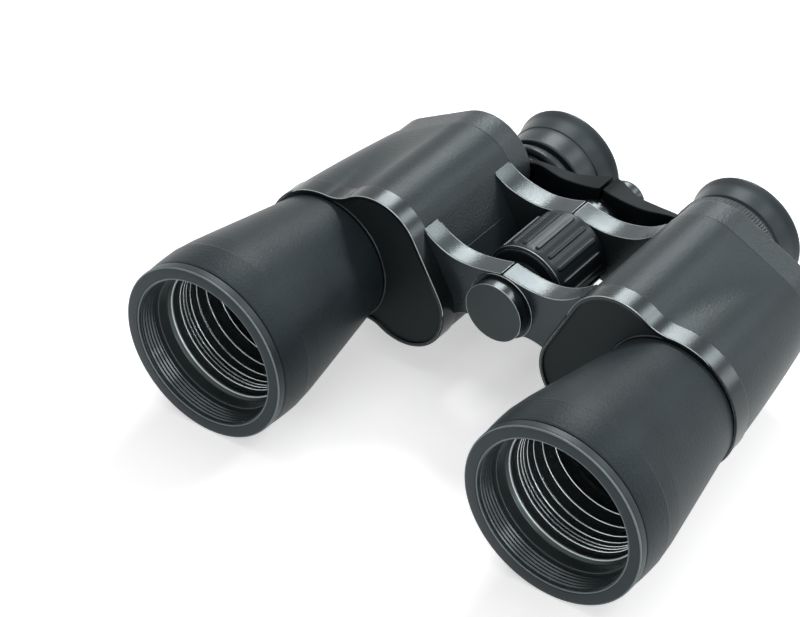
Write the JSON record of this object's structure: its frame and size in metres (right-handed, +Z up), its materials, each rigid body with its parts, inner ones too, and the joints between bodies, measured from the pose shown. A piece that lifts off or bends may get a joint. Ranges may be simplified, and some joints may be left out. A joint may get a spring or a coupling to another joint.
{
  "type": "binoculars",
  "caption": "Porro-prism binoculars with flared objective barrels, a folding hinge, a centre focus wheel driving a sliding ocular bridge, and a dioptre ring.",
  "frame": {"origin": "centre of the bounding box at its bottom, with the hinge axis 34.1 mm above it", "axes": "+Z up, +Y from the objectives to the eyepieces, +X to the half with the dioptre ring"},
  "size_m": [0.1822, 0.153, 0.0586],
  "materials": {
    "rim_rubber": "satin",
    "barrel_paint": "fine satin grain",
    "housing_paint": "fine satin grain",
    "band_gloss": "gloss black",
    "cover_satin": "satin",
    "ocular_paint": "satin",
    "inner_black": "matte black",
    "lens_glass": "polished",
    "prism_glass": "polished",
    "spring_steel": "spring temper",
    "screw_steel": "black oxide",
    "sliding_black": "smooth black",
    "eyecup_rubber": "matte",
    "wheel_plastic": "moulded ribs",
    "hinge_steel": "ground",
    "cap_matte": "matte",
    "spindle_brass": "turned"
  },
  "bodies": {
    "left_half": {"left_objective_rim": "rim_rubber", "left_objective_barrel": "barrel_paint", "left_retaining_ring": "inner_black", "left_lens_cell": "inner_black", "left_objective_crown": "lens_glass", "left_objective_flint": "lens_glass", "left_baffle_tube": "inner_black", "left_front_band": "band_gloss", "left_prism_housing": "housing_paint", "left_prism_shelf": "inner_black", "left_front_prism": "prism_glass", "left_rear_prism": "prism_glass", "left_front_prism_strap": "spring_steel", "left_rear_prism_strap": "spring_steel", "left_rear_cover": "cover_satin", "left_rear_cover_screws": "screw_steel", "left_eyepiece_guide": "sliding_black", "hinge_pin": "hinge_steel", "front_washer": "band_gloss", "hinge_cap": "cap_matte", "rear_hinge_sleeve": "band_gloss"},
    "right_half": {"right_objective_rim": "rim_rubber", "right_objective_barrel": "barrel_paint", "right_retaining_ring": "inner_black", "right_lens_cell": "inner_black", "right_objective_crown": "lens_glass", "right_objective_flint": "lens_glass", "right_baffle_tube": "inner_black", "right_front_band": "band_gloss", "right_prism_housing": "housing_paint", "right_prism_shelf": "inner_black", "right_front_prism": "prism_glass", "right_rear_prism": "prism_glass", "right_front_prism_strap": "spring_steel", "right_rear_prism_strap": "spring_steel", "right_rear_cover": "cover_satin", "right_rear_cover_screws": "screw_steel", "right_eyepiece_guide": "sliding_black"},
    "focus_wheel_body": {"focus_wheel": "wheel_plastic"},
    "left_ocular": {"left_ocular_arm": "ocular_paint", "left_eyepiece_tube": "sliding_black", "left_collar_ring": "band_gloss", "left_field_lens": "lens_glass", "left_eye_barrel": "inner_black", "left_eyecup": "eyecup_rubber", "left_eye_lens": "lens_glass", "left_eye_lens_ring": "inner_black", "focus_spindle": "spindle_brass", "ocular_end_cap": "cap_matte", "ocular_washer": "sliding_black"},
    "right_ocular": {"right_ocular_arm": "ocular_paint", "right_eyepiece_tube": "sliding_black", "right_field_lens": "lens_glass"},
    "diopter_ring_body": {"right_diopter_ring": "wheel_plastic"},
    "diopter_eyepiece": {"right_eye_barrel": "inner_black", "right_eyecup": "eyecup_rubber", "right_eye_lens": "lens_glass", "right_eye_lens_ring": "inner_black"}
  },
  "joints": [
    {"name": "fold_hinge", "type": "hinge", "parent": "left_half", "child": "right_half", "pos_m": [0, 0.0135, 0.0341], "axis": [0, 1, 0], "range_deg": [0, 38]},
    {"name": "focus_turn", "type": "hinge", "parent": "left_half", "child": "focus_wheel_body", "pos_m": [0, 0.0135, 0.0341], "axis": [0, 1, 0], "range_deg": [0, 303]},
    {"name": "left_focus_slide", "type": "slide", "parent": "left_half", "child": "left_ocular", "axis": [0, 1, 0], "range_m": [0, 0.00833]},
    {"name": "right_focus_slide", "type": "slide", "parent": "right_half", "child": "right_ocular", "axis": [0, 1, 0], "range_m": [0, 0.0084]},
    {"name": "diopter_turn", "type": "hinge", "parent": "right_ocular", "child": "diopter_ring_body", "pos_m": [0.0334, 0.0555, 0.0246], "axis": [0, 1, 0], "range_deg": [-45.4, 45.4]},
    {"name": "diopter_shift", "type": "slide", "parent": "right_ocular", "child": "diopter_eyepiece", "axis": [0, 1, 0], "range_m": [-0.0012, 0.0012]}
  ],
  "couplings": [
    {"joint": "focus_turn", "follows": "left_focus_slide", "rad_per_m": 628.32},
    {"joint": "right_focus_slide", "follows": "left_focus_slide", "ratio": 1},
    {"joint": "diopter_turn", "follows": "diopter_shift", "rad_per_m": 654.5}
  ]
}
